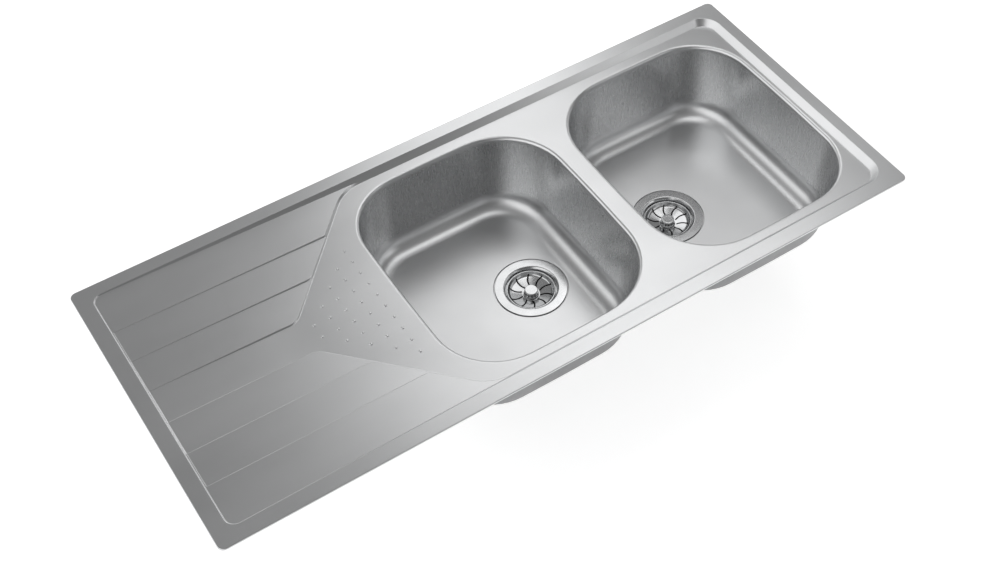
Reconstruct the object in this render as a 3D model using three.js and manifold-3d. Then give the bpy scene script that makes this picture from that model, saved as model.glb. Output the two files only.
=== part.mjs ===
// Double bowl inset kitchen sink with a terraced drainer, its two basket wastes and its fixing clips.
//
// Millimetres, +Z up. +X runs along the sink from the drainer end to the bowl end, +Y from front to back.
// The origin is on the underside of the rim seal, half way along the front rim: z = 0 is the worktop.
// Places are mostly given as a distance from the left end, a distance from the front edge, and a depth
// below the top of the rim, because that is how a sink is drawn.

import * as THREE from 'three';
import { mergeVertices } from 'three/addons/utils/BufferGeometryUtils.js';
import Module from 'manifold-3d';

const wasm = await Module();
wasm.setup();

// ---------------------------------------------------------------- driving dimensions

const LENGTH = 1160;
const WIDTH = 500;
const SHEET = 1;
const GAP = 0.3;

const RIM_TOP = 4;
const RIM_CORNER = 10;
const RIM_EDGE_DROP = 3;
const SEAL_INSET = 2;
const SEAL_WIDTH = 8;

// The pressed step inside the flat rim: where its upper line runs.
const STEP = { left: 24.5, front: 24.6, back: 22.4, right: 20.5, corner: 16 };
const STEP_RUN = 0.85; // sideways run of a pressed slope for each millimetre of depth
const POCKET_ABOVE = 6; // how far a pocket's cutter stands above the surface that it opens from

const DECK_DEPTH = 10.5;
const DECK_FOOT_CORNER = 25;
const DIAGONAL = { throughX: 320.1, throughY: 351, slope: 1.069, curve: 70 };

// Drainer terraces: half width about the middle, depth at the left end, fall for each millimetre to the
// right, where the terrace ends against the diagonal, and how deep its cutter's sides reach below the
// surface that it opens from. The first is as wide as the step, and the last is the middle channel.
const TERRACE_START = 27.5;
const TERRACES = [
  { depth: 1.6, fall: 0.0141, end: 480, reach: 9 },
  { halfWidth: 152, depth: 2.0, fall: 0.0204, end: 371, reach: 3 },
  { halfWidth: 91, depth: 2.4, fall: 0.0271, end: 311, reach: 3 },
  { halfWidth: 31, depth: 2.8, fall: 0.0371, end: 238.5, reach: 4 },
];
const CHANNEL = TERRACES[3];
const CHANNEL_MEETS_DECK = 235;
const TERRACE_END_CURVE = 30;
const TERRACE_TAIL = 10; // how far right a terrace's line runs along the diagonal
const TERRACE_TAIL_END = 5; // how far its cutter runs on inside the deck
const TIGHT_CORNER = 1;

// Raised drip dots: columns of 2, 4, 6, 8 and 10.
const DOTS = {
  firstX: 271, pitchX: 25.5, pitchY: 24.7, columns: 5, radius: 2.1, topShare: 0.45, height: 0.8, sides: 5,
};

// Bowls, measured from each bowl's own centre in x; inner is the side next to the other bowl.
const BOWL_MID_X = 763.4;
const BOWL_HALF_SPACING = 188.6;
const LIP_RADIUS = 6;
const LIP_DEPTH = 20;
const MOUTH = { inner: 169.6, outer: 169.6, front: 51.5, back: 448.5, innerR: 110, outerR: 97, bow: 2.75 };
const CREASE = { inner: 154, outer: 164, front: 67.5, back: 441, innerR: 88, outerR: 86, bow: 1.5 };
const FLOOR = { inner: 118.5, outer: 130.5, front: 100, back: 409.6, innerR: 55, outerR: 55, bow: 0.5 };
const MOUTH_DEPTH = DECK_DEPTH + LIP_RADIUS;
const CREASE_DEPTH = 126;
const FLOOR_DEPTH = 157;
const FLOOR_FILLET_STEPS = 3;
const BOWL_SIDE_RADIUS = 3000; // the bend at the middle of a side, which is all but straight

// Wastes: the drain axis lies off each bowl's centre, towards the other bowl.
const DRAIN_OFFSET = 54;
const RECESS = { radius: 59.5, depth: 159, hole: 45 };
const OVERCUT = 1; // how far a cutter runs past the face that it opens

// Fixing clips, four on each long side.
const CLIP_X = [140, 452, 763, 1075];
const CLIP_INSET = 39.5;
const DRAINER_CLIP_TOP = 5.2;
const DECK_CLIP_TOP = DECK_DEPTH + SHEET + GAP;

// ---------------------------------------------------------------- frame helpers

const LEFT = -LENGTH / 2;
const FRONT = -(SEAL_INSET + SEAL_WIDTH / 2);
const MID_Y = FRONT + WIDTH / 2;
const fromLeft = (distance) => LEFT + distance;
const fromFront = (distance) => FRONT + distance;
const atDepth = (depth) => RIM_TOP - depth;

// ---------------------------------------------------------------- materials

const brushedSteel = { color: 0xb9bbbd, roughness: 0.38, metalness: 1 };
const polishedSteel = { color: 0xc9cbcd, roughness: 0.16, metalness: 1 };
const zincSteel = { color: 0x9fa4a6, roughness: 0.45, metalness: 1 };
const blackRubber = { color: 0x1d1e20, roughness: 0.85, metalness: 0 };
const greyFoam = { color: 0x4a4c4f, roughness: 0.95, metalness: 0 };
const greyPad = { color: 0x5a5d60, roughness: 0.9, metalness: 0 };
const whitePlastic = { color: 0xe6e7e4, roughness: 0.45, metalness: 0 };

// ---------------------------------------------------------------- geometry helpers

// Welds a geometry's vertices, drops collapsed triangles and turns its faces outwards.
function closed(geometry) {
  const bare = geometry.clone();
  bare.deleteAttribute('normal');
  bare.deleteAttribute('uv');
  const welded = mergeVertices(bare, 1e-4);
  const source = welded.index.array;
  const index = [];
  for (let i = 0; i < source.length; i += 3) {
    const [a, b, c] = [source[i], source[i + 1], source[i + 2]];
    if (a !== b && b !== c && c !== a) {
      index.push(a, b, c);
    }
  }
  if (signedVolume(welded.attributes.position, index) < 0) {
    index.reverse();
  }
  welded.setIndex(index);
  return welded;
}

function signedVolume(position, index) {
  const [a, b, c] = [new THREE.Vector3(), new THREE.Vector3(), new THREE.Vector3()];
  let total = 0;
  for (let i = 0; i < index.length; i += 3) {
    a.fromBufferAttribute(position, index[i]);
    b.fromBufferAttribute(position, index[i + 1]);
    c.fromBufferAttribute(position, index[i + 2]);
    total += a.dot(b.cross(c)) / 6;
  }
  return total;
}

function solid(geometry) {
  const welded = closed(geometry);
  const vertProperties = new Float32Array(welded.attributes.position.array);
  const triVerts = new Uint32Array(welded.index.array);
  return new wasm.Manifold(new wasm.Mesh({ numProp: 3, vertProperties, triVerts }));
}

function toGeometry(body) {
  const mesh = body.getMesh();
  const geometry = new THREE.BufferGeometry();
  geometry.setAttribute('position', new THREE.BufferAttribute(new Float32Array(mesh.vertProperties), 3));
  geometry.setIndex(new THREE.BufferAttribute(new Uint32Array(mesh.triVerts), 1));
  return geometry;
}

const LEAST_RADIUS = 0.4;

// A closed outline with rounded corners, grown outwards by a distance. Corners are [x, y, radius] and run
// anticlockwise; every growth of the same corners has the same number of points.
function outline(corners, grow = 0, arcSteps = 4) {
  const count = corners.length;
  const edges = corners.map(([x, y], i) => {
    const [nextX, nextY] = corners[(i + 1) % count];
    const direction = new THREE.Vector2(nextX - x, nextY - y).normalize();
    const outward = new THREE.Vector2(direction.y, -direction.x);
    return { direction, start: new THREE.Vector2(x, y).addScaledVector(outward, grow) };
  });
  const points = [];
  for (let i = 0; i < count; i += 1) {
    const before = edges[(i + count - 1) % count];
    const after = edges[i];
    const turn = before.direction.cross(after.direction);
    const offset = after.start.clone().sub(before.start);
    const vertex = before.start.clone().addScaledVector(before.direction, offset.cross(after.direction) / turn);
    const side = Math.sign(turn);
    const radius = Math.max(corners[i][2] + side * grow, LEAST_RADIUS);
    const angle = Math.acos(THREE.MathUtils.clamp(before.direction.dot(after.direction), -1, 1));
    const tangent = radius * Math.tan(angle / 2);
    const arcStart = vertex.clone().addScaledVector(before.direction, -tangent);
    const inward = new THREE.Vector2(-before.direction.y, before.direction.x).multiplyScalar(side);
    const centre = arcStart.clone().addScaledVector(inward, radius);
    for (let k = 0; k <= arcSteps; k += 1) {
      points.push(arcStart.clone().rotateAround(centre, (side * angle * k) / arcSteps));
    }
  }
  return points;
}

function box(left, front, right, back, radius) {
  return [
    [left, front, radius],
    [right, front, radius],
    [right, back, radius],
    [left, back, radius],
  ];
}

// A solid through a stack of rings, each { points, z } with the same number of points. Where the stack
// loops back on itself it needs no caps.
function loft(rings, looped = false) {
  const count = rings[0].points.length;
  const positions = rings.flatMap(({ points, z }) => points.flatMap((point) => [point.x, point.y, z]));
  const index = [];
  const last = looped ? rings.length : rings.length - 1;
  for (let r = 0; r < last; r += 1) {
    const lower = r * count;
    const upper = ((r + 1) % rings.length) * count;
    for (let i = 0; i < count; i += 1) {
      const j = (i + 1) % count;
      index.push(lower + i, lower + j, upper + j, lower + i, upper + j, upper + i);
    }
  }
  if (!looped) {
    const cap = THREE.ShapeUtils.triangulateShape(rings[0].points, []);
    const top = (rings.length - 1) * count;
    cap.forEach(([a, b, c]) => index.push(c, b, a, top + a, top + b, top + c));
  }
  const geometry = new THREE.BufferGeometry();
  geometry.setAttribute('position', new THREE.Float32BufferAttribute(positions, 3));
  geometry.setIndex(index);
  return geometry;
}

// A turned part about the z axis. The profile is [radius, depth] pairs and closes on itself or on the axis.
function turned(profile, segments = 16) {
  const points = profile.map(([radius, depth]) => new THREE.Vector2(radius, -depth));
  if (profile[0][0] > 0) {
    points.push(points[0].clone());
  }
  const geometry = new THREE.LatheGeometry(points, segments);
  geometry.rotateX(Math.PI / 2);
  return closed(geometry);
}

function cylinder(radius, topDepth, bottomDepth, segments = 16) {
  return turned([[0, topDepth], [radius, topDepth], [radius, bottomDepth], [0, bottomDepth]], segments);
}

// A flat shape drawn in x and z (z up), extruded along y and centred on y = 0.
function extrudedAcross(points, width) {
  const shape = new THREE.Shape(points.map(([x, z]) => new THREE.Vector2(x, z)));
  const geometry = new THREE.ExtrudeGeometry(shape, { depth: width, bevelEnabled: false });
  geometry.rotateX(Math.PI / 2);
  geometry.translate(0, width / 2, 0);
  return geometry;
}

function extrudedUp(shape, bottomDepth, topDepth, curveSegments = 6) {
  const options = { depth: bottomDepth - topDepth, bevelEnabled: false, curveSegments };
  const geometry = new THREE.ExtrudeGeometry(shape, options);
  geometry.translate(0, 0, -bottomDepth);
  return geometry;
}

const sink = new THREE.Group();

function addMesh(name, geometry, finish, parent = sink) {
  const mesh = new THREE.Mesh(geometry, new THREE.MeshStandardMaterial(finish));
  mesh.name = name;
  parent.add(mesh);
  return mesh;
}

// ---------------------------------------------------------------- deck panel

const RIM_CORNERS = box(LEFT, FRONT, -LEFT, fromFront(WIDTH), RIM_CORNER);
const SLAB_DEPTH = 40;
const EDGE_ROUND = 0.8;

// Everything below the top of the rim, with a softened upper edge.
function rimSlab(grow) {
  return solid(loft([
    { points: outline(RIM_CORNERS, grow), z: atDepth(SLAB_DEPTH) },
    { points: outline(RIM_CORNERS, grow), z: atDepth(EDGE_ROUND) },
    { points: outline(RIM_CORNERS, grow - EDGE_ROUND), z: atDepth(0) },
  ]));
}

// All the space above a plane that falls to the right.
function spaceAbove(depthAtStart, fall) {
  const block = new THREE.BoxGeometry(2 * LENGTH, 2 * WIDTH, SLAB_DEPTH);
  block.translate(0, 0, SLAB_DEPTH / 2);
  block.rotateY(Math.atan(fall));
  block.translate(fromLeft(TERRACE_START), MID_Y, atDepth(depthAtStart));
  return solid(block);
}

// A pocket pressed down from a parent plane to its own falling floor. Its upper line lies in the parent,
// and its sides reach further down than the floor ever is.
function terracePocket(corners, parent, floor) {
  const geometry = loft([
    { points: outline(corners, -STEP_RUN * floor.reach), z: -floor.reach },
    { points: outline(corners, STEP_RUN * POCKET_ABOVE), z: POCKET_ABOVE },
  ]);
  const shear = new THREE.Matrix4().makeShear(0, -parent.fall, 0, 0, 0, 0);
  const lift = atDepth(parent.depth) + parent.fall * fromLeft(TERRACE_START);
  geometry.applyMatrix4(shear);
  geometry.translate(0, 0, lift);
  return solid(geometry).intersect(spaceAbove(floor.depth, floor.fall));
}

// A terrace's upper line: straight sides that turn outwards along the diagonal at their right ends.
function terraceCorners({ halfWidth, end }) {
  const rise = TERRACE_TAIL * DIAGONAL.slope;
  const left = fromLeft(TERRACE_START);
  const bend = fromLeft(end);
  const tail = bend + TERRACE_TAIL;
  const right = tail + TERRACE_TAIL_END;
  return [
    [left, MID_Y - halfWidth, TIGHT_CORNER],
    [bend, MID_Y - halfWidth, TERRACE_END_CURVE],
    [tail, MID_Y - halfWidth - rise, TIGHT_CORNER],
    [right, MID_Y - halfWidth - rise, TIGHT_CORNER],
    [right, MID_Y + halfWidth + rise, TIGHT_CORNER],
    [tail, MID_Y + halfWidth + rise, TIGHT_CORNER],
    [bend, MID_Y + halfWidth, TERRACE_END_CURVE],
    [left, MID_Y + halfWidth, TIGHT_CORNER],
  ];
}

// The foot of the deck: it opens from the drainer's channel along two diagonals.
function deckFootCorners() {
  const stepWidth = DECK_DEPTH * STEP_RUN;
  const back = WIDTH - STEP.back - stepWidth;
  const front = STEP.front + stepWidth;
  const right = LENGTH - STEP.right - stepWidth;
  const diagonalX = (y) => DIAGONAL.throughX + (y - DIAGONAL.throughY) / DIAGONAL.slope;
  const channel = CHANNEL.halfWidth - 1;
  const [channelFront, channelBack] = [WIDTH / 2 - channel, WIDTH / 2 + channel];
  const mouth = diagonalX(channelBack);
  const corners = [
    [right, front, DECK_FOOT_CORNER],
    [right, back, DECK_FOOT_CORNER],
    [diagonalX(back), back, DIAGONAL.curve],
    [mouth, channelBack, TERRACE_END_CURVE],
    [CHANNEL_MEETS_DECK, channelBack, TIGHT_CORNER],
    [CHANNEL_MEETS_DECK, channelFront, TIGHT_CORNER],
    [mouth, channelFront, TERRACE_END_CURVE],
    [diagonalX(WIDTH - front), front, DIAGONAL.curve],
  ];
  return corners.map(([x, y, radius]) => [fromLeft(x), fromFront(y), radius]);
}

function deckPocket() {
  const corners = deckFootCorners();
  const spread = STEP_RUN * (DECK_DEPTH + POCKET_ABOVE);
  return solid(loft([
    { points: outline(corners), z: atDepth(DECK_DEPTH) },
    { points: outline(corners, spread), z: atDepth(-POCKET_ABOVE) },
  ]));
}

function channelCorners() {
  const { halfWidth, end } = CHANNEL;
  return box(fromLeft(TERRACE_START), MID_Y - halfWidth, fromLeft(end), MID_Y + halfWidth, TIGHT_CORNER);
}

function pressedPockets() {
  const outer = box(
    fromLeft(STEP.left),
    fromFront(STEP.front),
    fromLeft(TERRACES[0].end),
    fromFront(WIDTH - STEP.back),
    STEP.corner,
  );
  const rimPlane = { depth: 0, fall: 0 };
  return deckPocket()
    .add(terracePocket(outer, rimPlane, TERRACES[0]))
    .add(terracePocket(terraceCorners(TERRACES[1]), TERRACES[0], TERRACES[1]))
    .add(terracePocket(terraceCorners(TERRACES[2]), TERRACES[1], TERRACES[2]))
    .add(terracePocket(channelCorners(), TERRACES[2], CHANNEL));
}

// One raised dot, whose foot is buried half way into the sheet.
function dripDot(x, y) {
  const height = DOTS.height + SHEET / 2;
  const dot = new THREE.CylinderGeometry(DOTS.radius * DOTS.topShare, DOTS.radius, height, DOTS.sides);
  dot.rotateX(Math.PI / 2);
  dot.translate(x, y, atDepth(DECK_DEPTH - DOTS.height + height / 2));
  return solid(dot);
}

function addDripDots(panel) {
  let dotted = panel;
  for (let column = 0; column < DOTS.columns; column += 1) {
    const x = fromLeft(DOTS.firstX + column * DOTS.pitchX);
    const rows = 2 * (column + 1);
    for (let row = 0; row < rows; row += 1) {
      dotted = dotted.add(dripDot(x, MID_Y + (row - (rows - 1) / 2) * DOTS.pitchY));
    }
  }
  return dotted;
}

// ---------------------------------------------------------------- bowl outlines

// The corners of a bowl's section. The left bowl's inner side faces +x; the right bowl is its mirror image.
function bowlCorners(centreX, mirror, section) {
  const { inner, outer, front, back, innerR, outerR, bow } = section;
  const midX = (inner - outer) / 2;
  const midY = (front + back) / 2;
  const corners = [
    [-outer + bow, front + bow, outerR],
    [midX, front, BOWL_SIDE_RADIUS],
    [inner - bow, front + bow, innerR],
    [inner, midY, BOWL_SIDE_RADIUS],
    [inner - bow, back - bow, innerR],
    [midX, back, BOWL_SIDE_RADIUS],
    [-outer + bow, back - bow, outerR],
    [-outer, midY, BOWL_SIDE_RADIUS],
  ];
  const placed = corners.map(([x, y, radius]) => [centreX + mirror * x, fromFront(y), radius]);
  return mirror > 0 ? placed : placed.reverse();
}

function blend(from, to, share) {
  const section = {};
  Object.keys(from).forEach((key) => {
    section[key] = THREE.MathUtils.lerp(from[key], to[key], share);
  });
  return section;
}

function wallSection(depth) {
  return blend(MOUTH, CREASE, (depth - MOUTH_DEPTH) / (CREASE_DEPTH - MOUTH_DEPTH));
}

const BOWL_ARC_STEPS = 4;
const bowlOutline = (bowl, section, grow) => (
  outline(bowlCorners(bowl.centreX, bowl.mirror, section), grow, BOWL_ARC_STEPS)
);

// The space inside a bowl, or with a wall thickness the same space grown by it.
function bowlSpace(bowl, topDepth, wall) {
  const rings = [];
  for (let step = FLOOR_FILLET_STEPS; step >= 0; step -= 1) {
    const angle = (step / FLOOR_FILLET_STEPS) * (Math.PI / 2);
    const section = blend(FLOOR, CREASE, Math.cos(angle));
    const depth = CREASE_DEPTH + (FLOOR_DEPTH - CREASE_DEPTH) * Math.sin(angle);
    rings.push({
      points: bowlOutline(bowl, section, wall * Math.cos(angle)),
      z: atDepth(depth + wall * Math.sin(angle)),
    });
  }
  const topSection = wallSection(LIP_DEPTH + GAP);
  rings.push({ points: bowlOutline(bowl, topSection, wall), z: atDepth(topDepth) });
  return solid(loft(rings));
}

const BOWLS = [
  { name: 'left', centreX: fromLeft(BOWL_MID_X - BOWL_HALF_SPACING), mirror: 1 },
  { name: 'right', centreX: fromLeft(BOWL_MID_X + BOWL_HALF_SPACING), mirror: -1 },
];
BOWLS.forEach((bowl) => {
  bowl.drainX = bowl.centreX + bowl.mirror * DRAIN_OFFSET;
});

function deckOpening(bowl) {
  const points = bowlOutline(bowl, MOUTH, LIP_RADIUS);
  return solid(loft([
    { points, z: atDepth(DECK_DEPTH + SHEET + OVERCUT) },
    { points, z: atDepth(DECK_DEPTH - OVERCUT) },
  ]));
}

// The rolled lip that turns from the deck down into a bowl.
function deckLip(bowl) {
  const lap = 0.5;
  const chord = 1 - Math.SQRT1_2;
  const profile = [
    [LIP_RADIUS + lap, DECK_DEPTH],
    [LIP_RADIUS * chord, DECK_DEPTH + LIP_RADIUS * chord],
    [0, MOUTH_DEPTH],
    [0, LIP_DEPTH],
    [SHEET, LIP_DEPTH],
    [SHEET, MOUTH_DEPTH],
    [LIP_RADIUS + lap, DECK_DEPTH + SHEET],
  ];
  return solid(loft(profile.map(([grow, depth]) => (
    { points: bowlOutline(bowl, MOUTH, grow), z: atDepth(depth) }
  )), true));
}

function deckPanel() {
  const pockets = pressedPockets();
  const top = rimSlab(0).subtract(pockets);
  const under = rimSlab(OVERCUT).subtract(pockets).translate([0, 0, -SHEET]);
  const edge = solid(loft([
    { points: outline(RIM_CORNERS, 0), z: atDepth(RIM_EDGE_DROP) },
    { points: outline(RIM_CORNERS, 0), z: atDepth(EDGE_ROUND) },
    { points: outline(RIM_CORNERS, -SHEET), z: atDepth(EDGE_ROUND) },
    { points: outline(RIM_CORNERS, -SHEET), z: atDepth(RIM_EDGE_DROP) },
  ], true));
  let panel = addDripDots(top.subtract(under).add(edge));
  BOWLS.forEach((bowl) => {
    panel = panel.subtract(deckOpening(bowl)).add(deckLip(bowl));
  });
  return toGeometry(panel);
}

addMesh('deck_panel', deckPanel(), brushedSteel);

// ---------------------------------------------------------------- bowls and their pads

function pressedBowl(bowl) {
  const topDepth = LIP_DEPTH + GAP;
  const drain = [bowl.drainX, MID_Y, RIM_TOP];
  const sides = 24;
  const under = RECESS.depth + SHEET;
  const recessUnder = solid(cylinder(RECESS.radius + SHEET, FLOOR_DEPTH, under, sides));
  const recess = solid(cylinder(RECESS.radius, FLOOR_DEPTH - OVERCUT, RECESS.depth, sides));
  const hole = solid(cylinder(RECESS.hole, RECESS.depth - OVERCUT, under + OVERCUT, sides));
  const outside = bowlSpace(bowl, topDepth, SHEET).add(recessUnder.translate(drain));
  const inside = bowlSpace(bowl, topDepth - OVERCUT, 0).add(recess.translate(drain));
  return toGeometry(outside.subtract(inside).subtract(hole.translate(drain)));
}

const PAD = { fromCentre: 62, length: 100, width: 250, thickness: 2, corner: 12 };

function soundPad(bowl) {
  const x = bowl.centreX - bowl.mirror * PAD.fromCentre;
  const corners = box(x - PAD.length / 2, MID_Y - PAD.width / 2, x + PAD.length / 2, MID_Y + PAD.width / 2,
    PAD.corner);
  const top = FLOOR_DEPTH + SHEET + GAP;
  return loft([
    { points: outline(corners, 0, 3), z: atDepth(top + PAD.thickness) },
    { points: outline(corners, 0, 3), z: atDepth(top) },
  ]);
}

BOWLS.forEach((bowl) => {
  addMesh(`${bowl.name}_bowl`, pressedBowl(bowl), brushedSteel);
  addMesh(`${bowl.name}_sound_pad`, closed(soundPad(bowl)), greyPad);
});

// ---------------------------------------------------------------- rim seal

function rimSeal() {
  const profile = [
    [-SEAL_INSET, SHEET + GAP],
    [-SEAL_INSET - SEAL_WIDTH, SHEET + GAP],
    [-SEAL_INSET - SEAL_WIDTH, RIM_TOP],
    [-SEAL_INSET, RIM_TOP],
  ];
  return closed(loft(profile.map(([grow, depth]) => (
    { points: outline(RIM_CORNERS, grow, 4), z: atDepth(depth) }
  )), true));
}

addMesh('rim_seal', rimSeal(), greyFoam);

// ---------------------------------------------------------------- basket wastes

// Each waste is built about its own axis, with depths measured from the top of the rim.
const TURNED_WIDE = 20; // sides of the flange and the basket
const SLOTS = { count: 10, inner: 15.5, outer: 34, sagitta: 2.5, width: 1.8, phase: -8 };

function strainerBody() {
  const cup = solid(turned([
    [57.7, 157.2], [57, 156.5], [43.6, 156.5], [40.7, 159.5], [40.5, 164], [37.6, 164], [34.2, 188],
    [27, 188], [26.5, 194], [3.6, 194], [3.6, 195], [27.5, 195], [28, 189], [35.1, 189],
    [38.5, 165.2], [41.5, 165.2], [41.9, 159.7], [44, 157.7], [57.7, 157.7],
  ], TURNED_WIDE));
  const holes = 6;
  const halfAngle = THREE.MathUtils.degToRad(22);
  let body = cup;
  for (let i = 0; i < holes; i += 1) {
    const middle = (i / holes) * 2 * Math.PI;
    const shape = new THREE.Shape();
    shape.absarc(0, 0, 24, middle - halfAngle, middle + halfAngle, false);
    shape.absarc(0, 0, 10, middle + halfAngle, middle - halfAngle, true);
    body = body.subtract(solid(extrudedUp(shape, 197, 192, 2)));
  }
  return toGeometry(body);
}

// One curved slot: an arc between two radii, bowed anticlockwise.
function slotShape(angle) {
  const steps = 3;
  const half = SLOTS.width / 2;
  const length = SLOTS.outer - SLOTS.inner;
  const upper = [];
  const lower = [];
  for (let i = 0; i <= steps; i += 1) {
    const share = i / steps;
    const x = SLOTS.inner + length * share;
    const y = SLOTS.sagitta * (1 - (2 * share - 1) ** 2);
    upper.push(new THREE.Vector2(x, y + half));
    lower.unshift(new THREE.Vector2(x, y - half));
  }
  const origin = new THREE.Vector2();
  return new THREE.Shape([...upper, ...lower].map((point) => point.rotateAround(origin, angle)));
}

function basket() {
  let body = solid(turned([
    [4.6, 172.2], [13, 172.2], [33.8, 168], [37.2, 161.8], [38.8, 161.8], [39.4, 162.6],
    [39, 163.7], [37, 163.7], [34.7, 168.8], [13, 173.2], [4.6, 173.2],
  ], TURNED_WIDE));
  for (let i = 0; i < SLOTS.count; i += 1) {
    const angle = THREE.MathUtils.degToRad(SLOTS.phase + (360 / SLOTS.count) * i);
    body = body.subtract(solid(extrudedUp(slotShape(angle), 176, 164, 1)));
  }
  return toGeometry(body);
}

function plugKnob() {
  return turned([
    [0, 162], [9.6, 162], [10.7, 163.2], [12.2, 171.6], [4.5, 171.6], [4.5, 165], [0, 165],
  ]);
}

function plugStem() {
  return turned([
    [0, 165.3], [4, 165.3], [4, 182.2], [10, 182.2], [10, 183.4], [4, 183.4], [4, 188], [9, 188],
    [9, 189.2], [0, 189.2],
  ], 12);
}

function plugSeal() {
  return turned([
    [4.5, 183.7], [30.5, 183.7], [31.5, 185.7], [30.5, 187.7], [4.5, 187.7],
  ]);
}

const BOSS = { radius: 8, hole: 3.3, top: 195.3, bottom: 222 };
const RIBS = { count: 3, reach: 39, thickness: 2.5, top: 200, bottom: 213 };

// A funnel with a threaded spigot, and a boss for the clamp screw carried on three ribs.
function wasteHousing() {
  const outside = solid(turned([
    [0, 162.6], [50, 162.6], [50, 165.6], [46.5, 166.6], [43, 172], [40.5, 196], [25, 214], [23.7, 217],
    [23.7, 236], [0, 236],
  ]));
  const inside = solid(turned([
    [0, 161], [43.2, 161], [43.2, 166], [39.6, 171], [37, 195], [20, 214], [20, 238], [0, 238],
  ]));
  let spider = solid(cylinder(BOSS.radius, BOSS.top, BOSS.bottom, 12));
  for (let i = 0; i < RIBS.count; i += 1) {
    const rib = new THREE.BoxGeometry(RIBS.reach, RIBS.thickness, RIBS.bottom - RIBS.top);
    rib.translate(RIBS.reach / 2, 0, -(RIBS.top + RIBS.bottom) / 2);
    rib.rotateZ((i / RIBS.count) * 2 * Math.PI);
    spider = spider.add(solid(rib));
  }
  const screwHole = solid(cylinder(BOSS.hole, BOSS.top - OVERCUT, BOSS.bottom - 2, 12));
  return toGeometry(outside.subtract(inside).add(spider.intersect(outside)).subtract(screwHole));
}

const CLAMP_SLOT = { length: 16, width: 1.4, depth: 1, top: 190.2 };

function clampScrew() {
  const body = solid(turned([
    [0, 190.2], [5.5, 190.2], [6.5, 191.4], [6.5, 193.7], [3, 193.7], [3, 219], [0, 219],
  ], 10));
  const slot = new THREE.BoxGeometry(CLAMP_SLOT.length, CLAMP_SLOT.width, 2 * CLAMP_SLOT.depth);
  slot.translate(0, 0, -CLAMP_SLOT.top);
  return toGeometry(body.subtract(solid(slot)));
}

const LUGS = { count: 8, size: 5, middle: 29.5, top: 225, bottom: 243 };

function outletNut() {
  let body = solid(turned([
    [24.6, 222], [24.6, 242.3], [20.9, 242.3], [20.9, 246], [29, 246], [29, 222],
  ]));
  for (let i = 0; i < LUGS.count; i += 1) {
    const lug = new THREE.BoxGeometry(LUGS.size, LUGS.size, LUGS.bottom - LUGS.top);
    lug.translate(LUGS.middle, 0, -(LUGS.top + LUGS.bottom) / 2);
    lug.rotateZ((i / LUGS.count) * 2 * Math.PI);
    body = body.add(solid(lug));
  }
  return toGeometry(body);
}

const rectangularRing = (inner, outer, top, bottom) => (
  turned([[inner, top], [outer, top], [outer, bottom], [inner, bottom]])
);

BOWLS.forEach(({ name, drainX }) => {
  const waste = new THREE.Group();
  waste.position.set(drainX, MID_Y, RIM_TOP);
  sink.add(waste);
  const add = (part, geometry, finish) => addMesh(`${name}_${part}`, geometry, finish, waste);
  add('strainer_body', strainerBody(), polishedSteel);
  add('flange_gasket', rectangularRing(46, 57, 158, 158.7), blackRubber);
  add('under_gasket', rectangularRing(45.5, 50, 160.3, 162.3), blackRubber);
  add('waste_housing', wasteHousing(), whitePlastic);
  add('clamp_screw', clampScrew(), zincSteel);
  add('outlet_washer', rectangularRing(18, 23.5, 236.3, 238.8), blackRubber);
  add('outlet_nut', outletNut(), whitePlastic);
  add('tailpiece', turned([
    [18, 239.1], [23.5, 239.1], [23.5, 242], [20, 242], [20, 290], [18, 290],
  ]), whitePlastic);
  add('basket', basket(), polishedSteel);
  add('plug_knob', plugKnob(), polishedSteel);
  add('plug_stem', plugStem(), zincSteel);
  add('plug_seal', plugSeal(), blackRubber);
});

// ---------------------------------------------------------------- fixing clips

const HAT = { halfSpan: 13, wall: 2, foot: 6, width: 13, plateTop: 26, nut: 5 };
const SCREW = { radius: 3, tip: 25.9, head: 52, headRadius: 6, headHeight: 3.2, slotWidth: 1.4, slotDepth: 1.5 };
const ARM = { length: 35.5, width: 12, thickness: 2, tipTop: 42, hub: 7, notchWidth: 2.5, notchDepth: 2 };
const SCREW_HOLE = SCREW.radius + 0.5;

// A folded hat bracket, welded under the deck by its feet, with a nut under its plate.
function clipBracket(topDepth) {
  const inner = HAT.halfSpan;
  const outer = inner + HAT.wall;
  const foot = outer + HAT.foot;
  const footBottom = topDepth + HAT.wall;
  const plateBottom = HAT.plateTop + HAT.wall;
  const hat = extrudedAcross([
    [-foot, -topDepth], [-foot, -footBottom], [-outer, -footBottom], [-outer, -plateBottom],
    [outer, -plateBottom], [outer, -footBottom], [foot, -footBottom], [foot, -topDepth],
    [inner, -topDepth], [inner, -HAT.plateTop], [-inner, -HAT.plateTop], [-inner, -topDepth],
  ], HAT.width);
  const nutBottom = plateBottom + HAT.nut;
  const nut = cylinder(6, plateBottom - 1, nutBottom, 6);
  const hole = cylinder(SCREW_HOLE, HAT.plateTop - 1, nutBottom + 1, 8);
  return toGeometry(solid(hat).add(solid(nut)).subtract(solid(hole)));
}

function clipScrew() {
  const { radius, tip, head, headRadius, headHeight } = SCREW;
  const bottom = head + headHeight;
  const body = solid(turned([
    [0, tip], [radius, tip], [radius, head], [headRadius, head], [headRadius, bottom], [0, bottom],
  ], 8));
  const slot = new THREE.BoxGeometry(3 * headRadius, SCREW.slotWidth, 2 * SCREW.slotDepth);
  slot.translate(0, 0, -bottom);
  return toGeometry(body.subtract(solid(slot)));
}

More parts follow.
